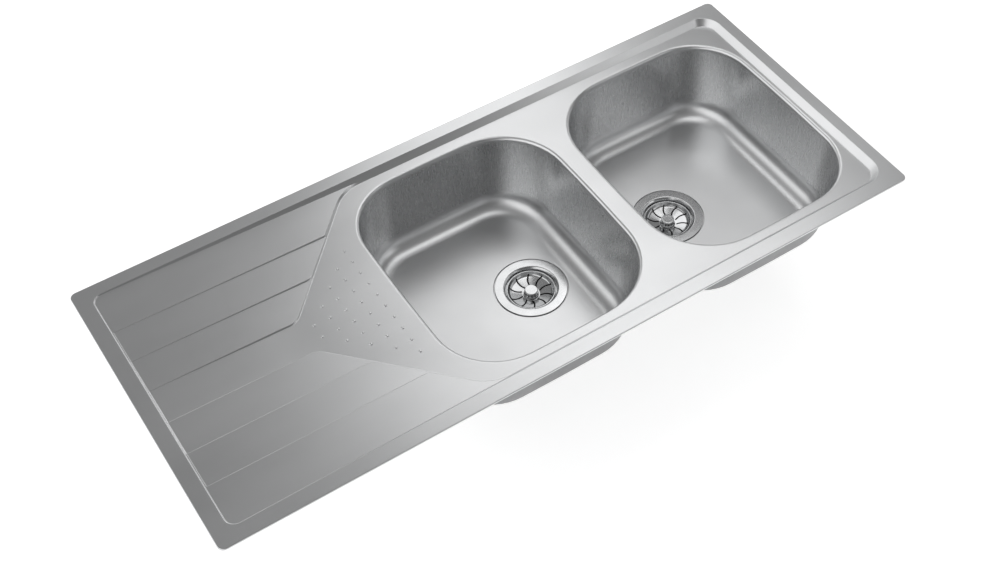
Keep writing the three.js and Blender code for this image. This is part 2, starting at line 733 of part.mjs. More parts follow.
// A flat arm on the screw's head, with an upturned toothed tip that bears on the worktop's underside.
function clipArm() {
  const bottom = SCREW.head - GAP;
  const top = bottom - ARM.thickness;
  const tipStart = ARM.length - ARM.thickness;
  const arm = extrudedAcross([
    [0, -bottom], [ARM.length, -bottom], [ARM.length, -ARM.tipTop], [tipStart, -ARM.tipTop],
    [tipStart, -top], [0, -top],
  ], ARM.width);
  const notch = new THREE.BoxGeometry(10, ARM.notchWidth, 2 * ARM.notchDepth);
  notch.translate(ARM.length, 0, -ARM.tipTop);
  const hub = cylinder(ARM.hub, top, bottom, 12);
  const hole = cylinder(SCREW_HOLE, top - 1, bottom + 1, 8);
  return toGeometry(solid(arm).add(solid(hub)).subtract(solid(hole)).subtract(solid(notch)));
}

function addClip(name, x, y, turn, bracketTop) {
  const clip = new THREE.Group();
  clip.position.set(x, y, RIM_TOP);
  clip.rotation.z = turn;
  sink.add(clip);
  addMesh(`${name}_bracket`, clipBracket(bracketTop), zincSteel, clip);
  addMesh(`${name}_screw`, clipScrew(), zincSteel, clip);
  addMesh(`${name}_arm`, clipArm(), zincSteel, clip);
}

CLIP_X.forEach((distance, i) => {
  const x = fromLeft(distance);
  const bracketTop = i === 0 ? DRAINER_CLIP_TOP : DECK_CLIP_TOP;
  addClip(`front_clip_${i + 1}`, x, fromFront(CLIP_INSET), 0, bracketTop);
  addClip(`back_clip_${i + 1}`, x, fromFront(WIDTH - CLIP_INSET), Math.PI, bracketTop);
});

export default sink;
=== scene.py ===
"""Double bowl kitchen sink with a terraced drainer: its looks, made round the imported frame.

Metres, +Z up. Places are mostly given as a distance from the left end, a distance from the front edge and
a depth below the top of the rim. The deck's upper and lower surfaces are drawn as two skins and joined at
their edges. Each bowl is drawn as one skin and then given the sheet's thickness. What is round is drawn as
rings about its own axis.
"""

import math

import bmesh
import bpy
from mathutils import Matrix, Vector


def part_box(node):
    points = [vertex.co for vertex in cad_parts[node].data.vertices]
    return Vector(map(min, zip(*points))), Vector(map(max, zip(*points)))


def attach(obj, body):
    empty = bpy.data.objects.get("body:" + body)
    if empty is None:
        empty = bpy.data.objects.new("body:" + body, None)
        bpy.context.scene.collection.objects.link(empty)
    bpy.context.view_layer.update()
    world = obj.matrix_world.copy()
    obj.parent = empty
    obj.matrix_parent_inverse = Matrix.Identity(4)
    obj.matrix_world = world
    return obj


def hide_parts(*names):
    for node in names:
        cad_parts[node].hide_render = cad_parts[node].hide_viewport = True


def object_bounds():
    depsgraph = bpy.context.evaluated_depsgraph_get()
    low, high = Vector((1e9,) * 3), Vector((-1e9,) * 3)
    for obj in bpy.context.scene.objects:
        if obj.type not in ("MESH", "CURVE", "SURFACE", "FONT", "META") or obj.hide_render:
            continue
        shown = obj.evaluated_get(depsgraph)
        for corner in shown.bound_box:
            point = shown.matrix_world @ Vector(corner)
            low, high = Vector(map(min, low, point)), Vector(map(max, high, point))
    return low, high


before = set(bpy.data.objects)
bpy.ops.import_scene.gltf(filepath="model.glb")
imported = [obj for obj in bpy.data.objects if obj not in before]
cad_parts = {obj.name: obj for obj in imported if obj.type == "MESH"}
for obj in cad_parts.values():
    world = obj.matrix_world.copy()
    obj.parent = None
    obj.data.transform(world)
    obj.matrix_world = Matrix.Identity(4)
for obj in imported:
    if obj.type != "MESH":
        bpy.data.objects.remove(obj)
cad_low, cad_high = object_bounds()

# ---------------------------------------------------------------- driving sizes

MM = 0.001
deck_low, deck_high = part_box("deck_panel")
LENGTH = deck_high.x - deck_low.x
WIDTH = deck_high.y - deck_low.y
MID_Y = (deck_low.y + deck_high.y) / 2
RIM_TOP = deck_high.z
SHEET = 1.0 * MM

RIM_CORNER = 10 * MM
RIM_EDGE_DROP = 3 * MM
RIM_EDGE_ROUND = 1.2 * MM
STEP_LEFT, STEP_FRONT, STEP_BACK, STEP_RIGHT = 24.5 * MM, 24.6 * MM, 22.4 * MM, 20.5 * MM
STEP_CORNER = 16 * MM
STEP_RUN = 0.85
STEP_SLOPE = math.atan(1 / STEP_RUN)

DECK_DEPTH = 10.5 * MM
DECK_FOOT_CORNER = 25 * MM
DIAGONAL_X, DIAGONAL_Y, DIAGONAL_SLOPE = 320.1 * MM, 351 * MM, 1.069
DIAGONAL_CURVE = 70 * MM
TERRACE_START = 27.5 * MM
TERRACE_END_CURVE = 30 * MM
TERRACE_TAIL, TERRACE_TAIL_END = 11 * MM, 5 * MM
TIGHT_CORNER = 1.5 * MM
# Each terrace's half width, its depth at the left end, its fall to the right, and where it ends.
TERRACES = (
    (None, 1.6 * MM, 0.0141, 480 * MM),
    (152 * MM, 2.0 * MM, 0.0204, 371 * MM),
    (91 * MM, 2.4 * MM, 0.0271, 311 * MM),
    (31 * MM, 2.8 * MM, 0.0371, 238.5 * MM),
)
CHANNEL_MEETS_DECK = 235 * MM
CHANNEL_EASE = 30 * MM

DOT_FIRST_X, DOT_PITCH_X, DOT_PITCH_Y, DOT_COLUMNS = 271 * MM, 25.5 * MM, 24.7 * MM, 5
DOT_RADIUS, DOT_HEIGHT = 2.4 * MM, 1.15 * MM

BOWL_MID_X, BOWL_HALF_SPACING = 763.4 * MM, 188.6 * MM
LIP_RADIUS, LIP_DEPTH = 6 * MM, 20 * MM
MOUTH_DEPTH = DECK_DEPTH + LIP_RADIUS
CREASE_DEPTH, FLOOR_DEPTH = 126 * MM, 157 * MM
# A bowl's sections: half lengths on the side next to the other bowl and on the far side, distances of the
# front and back walls from the front edge, corner radii on both sides, and how far the walls bow.
MOUTH = [value * MM for value in (169.6, 169.6, 51.5, 448.5, 110, 97, 2.75)]
CREASE = [value * MM for value in (154, 164, 67.5, 441, 88, 86, 1.5)]
FLOOR = [value * MM for value in (118.5, 130.5, 100, 409.6, 55, 55, 0.5)]
DRAIN_OFFSET = 54 * MM
RECESS_RADIUS, RECESS_DEPTH, DRAIN_HOLE = 59.5 * MM, 159 * MM, 45 * MM


def from_left(distance):
    return deck_low.x + distance


def from_front(distance):
    return deck_low.y + distance


def at_depth(depth):
    return RIM_TOP - depth


# ---------------------------------------------------------------- drawing in plan


def outline(corners, grow=0.0, steps=12):
    """A closed outline of rounded corners (x, y, radius), run anticlockwise and grown outwards."""
    sides = []
    for (x, y, _), (next_x, next_y, _) in zip(corners, corners[1:] + corners[:1]):
        along = Vector((next_x - x, next_y - y)).normalized()
        sides.append((along, Vector((x, y)) + Vector((along.y, -along.x)) * grow))
    points = []
    for (before, start), (after, next_start), corner in zip(sides[-1:] + sides[:-1], sides, corners):
        turn = before.cross(after)
        bend = math.copysign(1, turn)
        vertex = start + before * ((next_start - start).cross(after) / turn)
        radius = corner[2] + bend * grow
        angle = before.angle(after)
        arc_start = vertex - before * radius * math.tan(angle / 2)
        centre = arc_start + Vector((-before.y, before.x)) * bend * radius
        for step in range(steps + 1):
            spoke = arc_start - centre
            spoke.rotate(Matrix.Rotation(bend * angle * step / steps, 2))
            points.append(centre + spoke)
    return points


def rectangle(left, front, right, back, radius):
    return [(left, front, radius), (right, front, radius), (right, back, radius), (left, back, radius)]


def lift(points, z):
    return [Vector((point.x, point.y, z)) for point in points]


def circle(radius, z, steps, centre=(0, 0)):
    turn = 2 * math.pi / steps
    return [
        Vector((centre[0] + radius * math.cos(turn * i), centre[1] + radius * math.sin(turn * i), z))
        for i in range(steps)
    ]


def soften(corners, reach, closed=True, steps=4):
    """Rounds the corners of a line (x, y) by curves that start and end a little way from each corner."""
    points = []
    for i, corner in enumerate(corners):
        here = Vector(corner[:2])
        if not closed and i in (0, len(corners) - 1):
            points.append(here)
            continue
        before, after = Vector(corners[i - 1][:2]), Vector(corners[(i + 1) % len(corners)][:2])
        own = corner[2] if len(corner) > 2 else reach
        near = min(own, 0.45 * (before - here).length, 0.45 * (after - here).length)
        start = here + (before - here).normalized() * near
        end = here + (after - here).normalized() * near
        for step in range(steps + 1):
            share = step / steps
            points.append(start * (1 - share) ** 2 + here * 2 * share * (1 - share) + end * share ** 2)
    return points


# ---------------------------------------------------------------- modelling steps


def choose_only(piece):
    bpy.ops.object.select_all(action="DESELECT")
    piece.select_set(True)
    bpy.context.view_layer.objects.active = piece


def edit(piece):
    choose_only(piece)
    bpy.ops.object.mode_set(mode="EDIT")
    bpy.ops.mesh.select_mode(type="VERT")
    bpy.ops.mesh.select_all(action="DESELECT")
    return bmesh.from_edit_mesh(piece.data)


def leave_edit():
    bpy.ops.object.mode_set(mode="OBJECT")


def pick(piece, mesh, kind, test):
    """Selects the vertices, edges or faces that pass a test, in edit mode."""
    bpy.ops.mesh.select_mode(type=kind)
    group = {"VERT": mesh.verts, "EDGE": mesh.edges, "FACE": mesh.faces}[kind]
    for item in group:
        item.select = bool(test(item))
    mesh.select_flush_mode()
    bmesh.update_edit_mesh(piece.data)


def draw_rings(name, rings, looped=False, capped=True):
    """Draws a ring of vertices and extrudes it from ring to ring, then caps the ends or joins them."""
    bpy.ops.object.select_all(action="DESELECT")
    bpy.ops.mesh.primitive_circle_add(vertices=len(rings[0]), radius=1, fill_type="NOTHING")
    piece = bpy.context.object
    piece.name = name
    piece.data.name = name
    mesh = edit(piece)
    place = mesh.verts.layers.int.new("place")
    row = mesh.verts.layers.int.new("row")
    for i, vertex in enumerate(mesh.verts):
        vertex[place] = i
    for number, ring in enumerate(rings):
        if number:
            bpy.ops.mesh.extrude_region()
            mesh = bmesh.from_edit_mesh(piece.data)
            place, row = mesh.verts.layers.int["place"], mesh.verts.layers.int["row"]
        else:
            bpy.ops.mesh.select_all(action="SELECT")
        for vertex in mesh.verts:
            if vertex.select:
                vertex.co = ring[vertex[place]]
                vertex[row] = number
        bmesh.update_edit_mesh(piece.data)
    last = len(rings) - 1
    ends = [(0, last)] if looped else [(0,), (last,)]
    if looped or capped:
        for numbers in ends:
            bpy.ops.mesh.select_all(action="DESELECT")
            pick(piece, mesh, "VERT", lambda vertex: vertex[row] in numbers)
            if looped:
                bpy.ops.mesh.select_mode(type="EDGE")
                mesh = bmesh.from_edit_mesh(piece.data)
                for edge in mesh.edges:
                    edge.select = edge.verts[0][row] == edge.verts[1][row] and edge.verts[0][row] in numbers
                bmesh.update_edit_mesh(piece.data)
                bpy.ops.mesh.bridge_edge_loops()
            else:
                bpy.ops.mesh.edge_face_add()
            mesh = bmesh.from_edit_mesh(piece.data)
            row = mesh.verts.layers.int["row"]
        bpy.ops.mesh.select_all(action="SELECT")
        bpy.ops.mesh.normals_make_consistent(inside=False)
    leave_edit()
    return piece


def turned(name, corners, centre=(0, 0), steps=96, reach=0.4 * MM, curve_steps=3):
    """A round piece: corners are (radius, depth), and the line closes on itself or ends on the axis."""
    on_axis = corners[0][0] == 0
    line = soften(corners, reach, closed=not on_axis, steps=curve_steps)
    if on_axis:
        line = line[1:-1] if line[-1].x == 0 else line[1:]
    smallest = 0.01 * MM
    rings = [circle(max(point.x, smallest), at_depth(point.y), steps, centre) for point in line]
    return draw_rings(name, rings, looped=not on_axis)


def apply_modifier(piece, kind, **settings):
    choose_only(piece)
    modifier = piece.modifiers.new(kind.lower(), kind)
    for key, value in settings.items():
        setattr(modifier, key, value)
    bpy.ops.object.modifier_apply(modifier=modifier.name)


def combine(piece, other, operation):
    """Cuts another solid out of a piece, or fuses it on, and removes it."""
    apply_modifier(piece, "BOOLEAN", object=other, operation=operation, solver="EXACT")
    bpy.data.objects.remove(other, do_unlink=True)


def join(pieces, name):
    """Joins objects into the first one."""
    bpy.ops.object.select_all(action="DESELECT")
    for piece in pieces:
        piece.select_set(True)
    bpy.context.view_layer.objects.active = pieces[0]
    bpy.ops.object.join()
    pieces[0].name = name
    return pieces[0]


def weld(piece):
    """Joins vertices that all but touch."""
    edit(piece)
    bpy.ops.mesh.select_all(action="SELECT")
    bpy.ops.mesh.remove_doubles(threshold=0.01 * MM)
    leave_edit()


def close_slits(piece):
    """Fills the small slits that cutting leaves open."""
    weld(piece)
    mesh = edit(piece)
    pick(piece, mesh, "EDGE", lambda edge: edge.is_boundary)
    bpy.ops.mesh.fill_holes(sides=6)
    leave_edit()


def face_one_way(piece, up=True):
    """Makes an open skin's faces agree, with its level faces all facing up or all facing down."""
    edit(piece)
    bpy.ops.mesh.select_all(action="SELECT")
    bpy.ops.mesh.normals_make_consistent(inside=False)
    mesh = bmesh.from_edit_mesh(piece.data)
    upright = sum(face.normal.z * face.calc_area() for face in mesh.faces if abs(face.normal.z) > 0.9)
    if (upright > 0) != up:
        bpy.ops.mesh.flip_normals()
    leave_edit()


def smooth(piece, degrees=35):
    """Shades a finished mesh: curves flow, flats stay flat and true edges stay crisp."""
    choose_only(piece)
    bpy.ops.object.shade_smooth_by_angle(angle=math.radians(degrees))
    apply_modifier(piece, "WEIGHTED_NORMAL", mode="FACE_AREA", weight=100, keep_sharp=True)
    for name in ("place", "row"):
        if name in piece.data.attributes:
            piece.data.attributes.remove(piece.data.attributes[name])


def copy_moved(piece, name, move=(0, 0, 0), turn=0.0):
    """A copy with a mesh of its own, turned about the z axis and moved."""
    choose_only(piece)
    bpy.ops.object.duplicate(linked=False)
    twin = bpy.context.object
    twin.name = name
    twin.data.name = name
    twin.data.transform(Matrix.Translation(Vector(move)) @ Matrix.Rotation(turn, 4, "Z"))
    return twin


def settle(piece, body, slot, material, *nodes):
    """Hands a finished piece over to the frame."""
    if material:
        piece.data.materials.clear()
        piece.data.materials.append(material)
    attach(piece, body)
    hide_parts(*nodes)
    return piece


# ---------------------------------------------------------------- shader node groups


def add_node(tree, kind, **values):
    """Adds a node; values are attributes of the node or, where it has none, its inputs by name."""
    node = tree.nodes.new(kind)
    for key, value in values.items():
        if hasattr(node, key):
            setattr(node, key, value)
        else:
            node.inputs[key.replace("_", " ")].default_value = value
    return node


def new_group(name, inputs, outputs):
    tree = bpy.data.node_groups.new(name, "ShaderNodeTree")
    for label, kind, value in inputs:
        socket = tree.interface.new_socket(label, in_out="INPUT", socket_type=kind)
        if value is not None:
            socket.default_value = value
    for label in outputs:
        tree.interface.new_socket(label, in_out="OUTPUT", socket_type="NodeSocketFloat")
    return tree, tree.nodes.new("NodeGroupInput"), tree.nodes.new("NodeGroupOutput")


def noise_in_range_group(name):
    """Noise over a stretched coordinate, mapped to a range."""
    tree, given, result = new_group(
        name,
        [
            ("Vector", "NodeSocketVector", None),
            ("Stretch", "NodeSocketVector", (1, 1, 1)),
            ("Scale", "NodeSocketFloat", 100.0),
            ("Detail", "NodeSocketFloat", 2.0),
            ("Low", "NodeSocketFloat", 0.0),
            ("High", "NodeSocketFloat", 1.0),
        ],
        ["Value"],
    )
    link = tree.links.new
    stretch = add_node(tree, "ShaderNodeVectorMath", operation="MULTIPLY")
    noise = add_node(tree, "ShaderNodeTexNoise")
    spread = add_node(tree, "ShaderNodeMapRange")
    spread.inputs["From Min"].default_value = 0.3
    spread.inputs["From Max"].default_value = 0.7
    link(given.outputs["Vector"], stretch.inputs[0])
    link(given.outputs["Stretch"], stretch.inputs[1])
    link(stretch.outputs[0], noise.inputs["Vector"])
    link(given.outputs["Scale"], noise.inputs["Scale"])
    link(given.outputs["Detail"], noise.inputs["Detail"])
    link(noise.outputs["Fac"], spread.inputs["Value"])
    link(given.outputs["Low"], spread.inputs["To Min"])
    link(given.outputs["High"], spread.inputs["To Max"])
    link(spread.outputs["Result"], result.inputs["Value"])
    return tree


def turning_marks_group(name):
    """Fine rings about the z axis, as a lathe or a polishing mop leaves them."""
    tree, given, result = new_group(
        name,
        [("Vector", "NodeSocketVector", None), ("Rings per metre", "NodeSocketFloat", 1500.0)],
        ["Height"],
    )
    link = tree.links.new
    flat = add_node(tree, "ShaderNodeVectorMath", operation="MULTIPLY")
    flat.inputs[1].default_value = (1, 1, 0)
    radius = add_node(tree, "ShaderNodeVectorMath", operation="LENGTH")
    scaled = add_node(tree, "ShaderNodeMath", operation="MULTIPLY")
    noise = add_node(tree, "ShaderNodeTexNoise", noise_dimensions="1D")
    noise.inputs["Scale"].default_value = 1.0
    noise.inputs["Detail"].default_value = 2.0
    link(given.outputs["Vector"], flat.inputs[0])
    link(flat.outputs[0], radius.inputs[0])
    link(radius.outputs["Value"], scaled.inputs[0])
    link(given.outputs["Rings per metre"], scaled.inputs[1])
    link(scaled.outputs[0], noise.inputs["W"])
    link(noise.outputs["Fac"], result.inputs["Height"])
    return tree


GRAIN = noise_in_range_group("grain")
TURNING_MARKS = turning_marks_group("turning_marks")

# ---------------------------------------------------------------- materials


def new_material(name):
    material = bpy.data.materials.new(name)
    material.use_nodes = True
    tree = material.node_tree
    shader = tree.nodes["Principled BSDF"]
    place = add_node(tree, "ShaderNodeTexCoord")
    return material, tree, shader, place.outputs["Object"]


def grain_node(tree, vector, scale, low=0.0, high=1.0, stretch=(1, 1, 1), detail=2.0):
    node = add_node(tree, "ShaderNodeGroup", node_tree=GRAIN)
    tree.links.new(vector, node.inputs["Vector"])
    node.inputs["Scale"].default_value = scale
    node.inputs["Low"].default_value = low
    node.inputs["High"].default_value = high
    node.inputs["Stretch"].default_value = stretch
    node.inputs["Detail"].default_value = detail
    return node.outputs["Value"]


def colour_mix(tree):
    """A mix of two colours: its share, its two colours and its result, as sockets."""
    mix = add_node(tree, "ShaderNodeMix", data_type="RGBA")
    first, second = (socket for socket in mix.inputs if socket.type == "RGBA")
    result = next(socket for socket in mix.outputs if socket.type == "RGBA")
    return mix.inputs[0], first, second, result


def shade_of(tree, shader, value, dark, light):
    """Drives the base colour between two near shades."""
    share, first, second, result = colour_mix(tree)
    first.default_value = (*dark, 1)
    second.default_value = (*light, 1)
    tree.links.new(value, share)
    tree.links.new(result, shader.inputs["Base Color"])


def relief(tree, shader, height, distance, strength):
    bump = add_node(tree, "ShaderNodeBump")
    bump.inputs["Strength"].default_value = strength
    bump.inputs["Distance"].default_value = distance
    tree.links.new(height, bump.inputs["Height"])
    tree.links.new(bump.outputs["Normal"], shader.inputs["Normal"])


# How many cells of each grain go into a metre, on sheet and on turned pieces.
CLOUDS, GLOSS_GRAIN, FINE_GRAIN = 9, 420, 1400
TURNED_CLOUDS, TURNED_GLOSS_GRAIN = 40, 700
STEEL_DARK, STEEL_LIGHT = (0.60, 0.605, 0.61), (0.66, 0.665, 0.67)


def rougher_below(tree, place, rough, more):
    """Adds roughness from the foot of a bowl's walls down to its floor."""
    split = add_node(tree, "ShaderNodeSeparateXYZ")
    lower = add_node(tree, "ShaderNodeMapRange", interpolation_type="SMOOTHSTEP")
    lower.inputs["From Min"].default_value = at_depth(CREASE_DEPTH - 6 * MM)
    lower.inputs["From Max"].default_value = at_depth(FLOOR_DEPTH - 4 * MM)
    lower.inputs["To Max"].default_value = more
    added = add_node(tree, "ShaderNodeMath", operation="ADD")
    tree.links.new(place, split.inputs[0])
    tree.links.new(split.outputs["Z"], lower.inputs["Value"])
    tree.links.new(lower.outputs["Result"], added.inputs[0])
    tree.links.new(rough, added.inputs[1])
    return added.outputs[0]


def sheet_steel(
    name, roughness, stretch, dark=STEEL_DARK, light=STEEL_LIGHT, relief_strength=0.06, matt_floor=0
):
    """Satin pressed sheet: a fine grain, with cloudy changes of shade from polishing."""
    material, tree, shader, place = new_material(name)
    shader.inputs["Metallic"].default_value = 1
    cloud = grain_node(tree, place, CLOUDS, stretch=stretch)
    shade_of(tree, shader, cloud, dark, light)
    rough = grain_node(tree, place, GLOSS_GRAIN, *roughness, stretch=stretch, detail=3)
    if matt_floor:
        rough = rougher_below(tree, place, rough, matt_floor)
    tree.links.new(rough, shader.inputs["Roughness"])
    grain = grain_node(tree, place, FINE_GRAIN, stretch=stretch, detail=3)
    relief(tree, shader, grain, 0.01 * MM, relief_strength)
    return material


def turned_steel(name, centre):
    """Polished steel with fine rings about the piece's own axis."""
    material, tree, shader, place = new_material(name)
    shader.inputs["Metallic"].default_value = 1
    centring = add_node(tree, "ShaderNodeMapping")
    centring.inputs["Location"].default_value = (-centre[0], -centre[1], 0)
    tree.links.new(place, centring.inputs["Vector"])
    cloud = grain_node(tree, centring.outputs["Vector"], TURNED_CLOUDS)
    shade_of(tree, shader, cloud, (0.51, 0.515, 0.52), (0.57, 0.575, 0.58))
    rough = grain_node(tree, centring.outputs["Vector"], TURNED_GLOSS_GRAIN, 0.12, 0.19)
    tree.links.new(rough, shader.inputs["Roughness"])
    rings = add_node(tree, "ShaderNodeGroup", node_tree=TURNING_MARKS)
    tree.links.new(centring.outputs["Vector"], rings.inputs["Vector"])
    relief(tree, shader, rings.outputs["Height"], 0.02 * MM, 0.15)
    return material


def plain_stuff(name, dark, light, roughness, scale, depth, strength, metallic=0.0):
    """Rubber, foam, felt, plastic or plating: mottled in colour and gloss, with its own surface relief."""
    material, tree, shader, place = new_material(name)
    shader.inputs["Metallic"].default_value = metallic
    shade_of(tree, shader, grain_node(tree, place, scale / 8, detail=4), dark, light)
    rough = grain_node(tree, place, scale / 3, *roughness)
    tree.links.new(rough, shader.inputs["Roughness"])
    relief(tree, shader, grain_node(tree, place, scale, detail=4), depth, strength)
    return material


ALONG_THE_SINK, DOWN_THE_WALLS = (0.5, 1, 1), (1, 1, 0.12)  # how the grain is drawn out
DECK_STEEL = sheet_steel("satin_steel_deck", (0.30, 0.35), ALONG_THE_SINK)
BOWL_STEEL = sheet_steel(
    "satin_steel_bowl", (0.265, 0.285), DOWN_THE_WALLS, relief_strength=0.03, matt_floor=0.06
)
# The bowls' outside: a rougher, duller steel, whose much darker base colour is painted shade for the dim
# underside of the sink.
DULL_STEEL_PAINTED_SHADE = sheet_steel(
    "dull_steel_painted_shade_outside", (0.42, 0.52), DOWN_THE_WALLS, (0.27, 0.273, 0.277), (0.33, 0.333, 0.337)
)
ZINC = plain_stuff(
    "zinc_plating", (0.46, 0.48, 0.50), (0.62, 0.63, 0.62), (0.32, 0.5), 900, 0.03 * MM, 0.3, metallic=1.0
)
RUBBER = plain_stuff(
    "black_rubber", (0.018, 0.018, 0.02), (0.03, 0.03, 0.032), (0.55, 0.75), 1500, 0.05 * MM, 0.3
)
FOAM = plain_stuff(
    "grey_foam", (0.055, 0.057, 0.06), (0.11, 0.112, 0.116), (0.85, 0.98), 1100, 0.3 * MM, 0.6
)
PAD = plain_stuff(
    "grey_damping_sheet", (0.08, 0.083, 0.087), (0.14, 0.144, 0.15), (0.7, 0.9), 700, 0.2 * MM, 0.5
)
PLASTIC = plain_stuff(
    "white_plastic", (0.74, 0.75, 0.73), (0.82, 0.825, 0.81), (0.36, 0.48), 600, 0.03 * MM, 0.25
)

# ---------------------------------------------------------------- deck panel

RIM_CORNERS = rectangle(from_left(0), from_front(0), from_left(LENGTH), from_front(WIDTH), RIM_CORNER)
SLAB_DEPTH = 40 * MM


def diagonal_x(y):
    """Where the deck's diagonal foot lies, as a distance from the left, at a distance from the front."""
    return DIAGONAL_X + (y - DIAGONAL_Y) / DIAGONAL_SLOPE


def plane_depth(number):
    """The depth of a terrace's falling floor as a function of x."""
    _, depth, fall, _ = TERRACES[number]
    return lambda x: depth + fall * (x - from_left(TERRACE_START))


TOUCHING = 0.001 * MM
EASE_STEPS = 8
EASE_LINES = [
    from_left(CHANNEL_MEETS_DECK) + CHANNEL_EASE * (2 * step / EASE_STEPS - 1)
    for step in range(EASE_STEPS + 1)
]


def deck_floor_depth(x):
    """The channel's floor falls to the right and eases into the level deck, in short flat strips."""
    fall = TERRACES[3][2]
    if x >= EASE_LINES[-1]:
        return DECK_DEPTH
    if x <= EASE_LINES[0]:
        return DECK_DEPTH + fall * (x - from_left(CHANNEL_MEETS_DECK))

    def eased(line):
        return DECK_DEPTH - fall * (EASE_LINES[-1] - line) ** 2 / (4 * CHANNEL_EASE)

    before, after = next(pair for pair in zip(EASE_LINES, EASE_LINES[1:]) if x <= pair[1])
    return eased(before) + (eased(after) - eased(before)) * (x - before) / (after - before)


def with_spokes(corners, stops, most=15 * MM, steps=12):
    """An outline's points, each with the way it moves as the outline grows, and the way on the floor.
    Points are added on long runs and where the outline crosses a stop line, which they keep to."""
    base, grown = outline(corners, 0, steps), outline(corners, MM, steps)
    pairs = [(point, (far - point) / MM) for point, far in zip(base, grown)]
    filled = []
    for (point, spoke), (after, after_spoke) in zip(pairs, pairs[1:] + pairs[:1]):
        run = after - point
        parts = max(1, math.ceil(run.length / most))
        shares = [part / parts for part in range(parts)]
        low, high = sorted((point.x, after.x))
        shares += [(stop - point.x) / run.x for stop in stops if low < stop < high]
        for share in sorted(shares):
            place, way = point.lerp(after, share), spoke.lerp(after_spoke, share)
            stopped = any(abs(place.x - stop) < TOUCHING for stop in stops)
            filled.append((place, way, Vector((0, way.length_squared / way.y)) if stopped else way))
    return filled


def pocket(name, corners, floor, parent, under, at_foot, low_round, high_round, flare, above, stops=()):
    """A solid in the shape of a pressed pocket's space. Its sides lean out from a falling floor to the
    parent's surface, with a curve at the foot and another where they cross the parent. For the underside of
    the sheet, the whole shape lies deeper and its sides further out by what the sheet's thickness takes."""
    steps = 3
    half_slope = math.tan(STEP_SLOPE / 2)
    side_shift = under * half_slope
    foot_reach = low_round * half_slope

    def profile(height):
        angles = [STEP_SLOPE * step / steps for step in range(steps + 1)]
        room = height / math.sin(STEP_SLOPE) / half_slope - low_round - 0.05 * MM
        high = min(high_round, room)
        head = STEP_RUN * height + high * half_slope
        lows = [(low_round * math.sin(a) - foot_reach, low_round * (1 - math.cos(a))) for a in angles]
        highs = [
            (head - high * math.sin(a), height - high * (1 - math.cos(a))) for a in reversed(angles[1:])
        ]
        out = (head + flare, height + flare * math.tan(STEP_SLOPE / steps / 2))
        return lows + highs + [out, (out[0], height + above)]

    rings = [[] for _ in profile(0)]
    for point, spoke, floor_spoke in with_spokes(corners, stops):
        height = floor(point.x) - parent(point.x)
        back = 0 if at_foot else STEP_RUN * height
        for ring, (side, rise) in zip(rings, profile(height)):
            spot = point + (spoke if ring is not rings[0] else floor_spoke) * (side - back + side_shift)
            ring.append(Vector((spot.x, spot.y, at_depth(floor(spot.x) + under) + rise)))
    return draw_rings(name, rings)


def terrace_corners(number):
    """A terrace's upper line: straight sides that turn outwards along the diagonal at their right ends."""
    half_width, _, _, end = TERRACES[number]
    rise = TERRACE_TAIL * DIAGONAL_SLOPE
    left, right = from_left(TERRACE_START), from_left(end)
    front, back = MID_Y - half_width, MID_Y + half_width
    tail = right + TERRACE_TAIL
    inside = tail + TERRACE_TAIL_END
    return [
        (left, front, TIGHT_CORNER),
        (right, front, TERRACE_END_CURVE),
        (tail, front - rise, TIGHT_CORNER),
        (inside, front - rise, TIGHT_CORNER),
        (inside, back + rise, TIGHT_CORNER),
        (tail, back + rise, TIGHT_CORNER),
        (right, back, TERRACE_END_CURVE),
        (left, back, TIGHT_CORNER),
    ]


def deck_foot_corners():
    """The foot of the channel and of the deck, which opens from the channel along two diagonals."""
    step_width = DECK_DEPTH * STEP_RUN
    back, front = WIDTH - STEP_BACK - step_width, STEP_FRONT + step_width
    right = LENGTH - STEP_RIGHT - step_width
    half_channel = TERRACES[3][0]
    ends = (from_left(TERRACE_START), from_left(CHANNEL_MEETS_DECK))
    step_left, step_right = (plane_depth(3)(x) - plane_depth(2)(x) for x in ends)
    left = TERRACE_START + STEP_RUN * step_left
    narrow, wide = half_channel - STEP_RUN * step_right, half_channel - STEP_RUN * step_left
    mouth = diagonal_x(WIDTH / 2 + narrow)
    corners = [
        (right, front, DECK_FOOT_CORNER),
        (right, back, DECK_FOOT_CORNER),
        (diagonal_x(back), back, DIAGONAL_CURVE),
        (mouth, WIDTH / 2 + narrow, TERRACE_END_CURVE),
        (left, WIDTH / 2 + wide, TIGHT_CORNER),
        (left, WIDTH / 2 - wide, TIGHT_CORNER),
        (mouth, WIDTH / 2 - narrow, TERRACE_END_CURVE),
        (diagonal_x(WIDTH - front), front, DIAGONAL_CURVE),
    ]
    return [(from_left(x), from_front(y), radius) for x, y, radius in corners]


def split_across(cutter, stops):
    """Divides the cutter's floor by lines across the channel, so that it is made of flat strips."""
    for stop in stops:
        mesh = edit(cutter)
        row = mesh.verts.layers.int["row"]
        pick(cutter, mesh, "VERT", lambda vertex: vertex[row] == 0 and abs(vertex.co.x - stop) < TOUCHING)
        bpy.ops.mesh.vert_connect()
        leave_edit()


def drip_dot():
    """One raised dot on the z axis, a low dome that starts a little inside the deck."""
    sink_in, foot, spread, sides, steps = 0.4 * MM, 0.03 * MM, 1.12, 24, 5
    steepest = math.radians(84)
    base = at_depth(DECK_DEPTH)
    rings = [circle(DOT_RADIUS * spread, base - sink_in, sides)]
    for step in range(steps + 1):
        share = step / steps
        height = DOT_HEIGHT * math.sin(share * math.pi / 2) - foot
        rings.append(circle(DOT_RADIUS * math.cos(share * steepest), base + height, sides))
    return draw_rings("dot", rings)


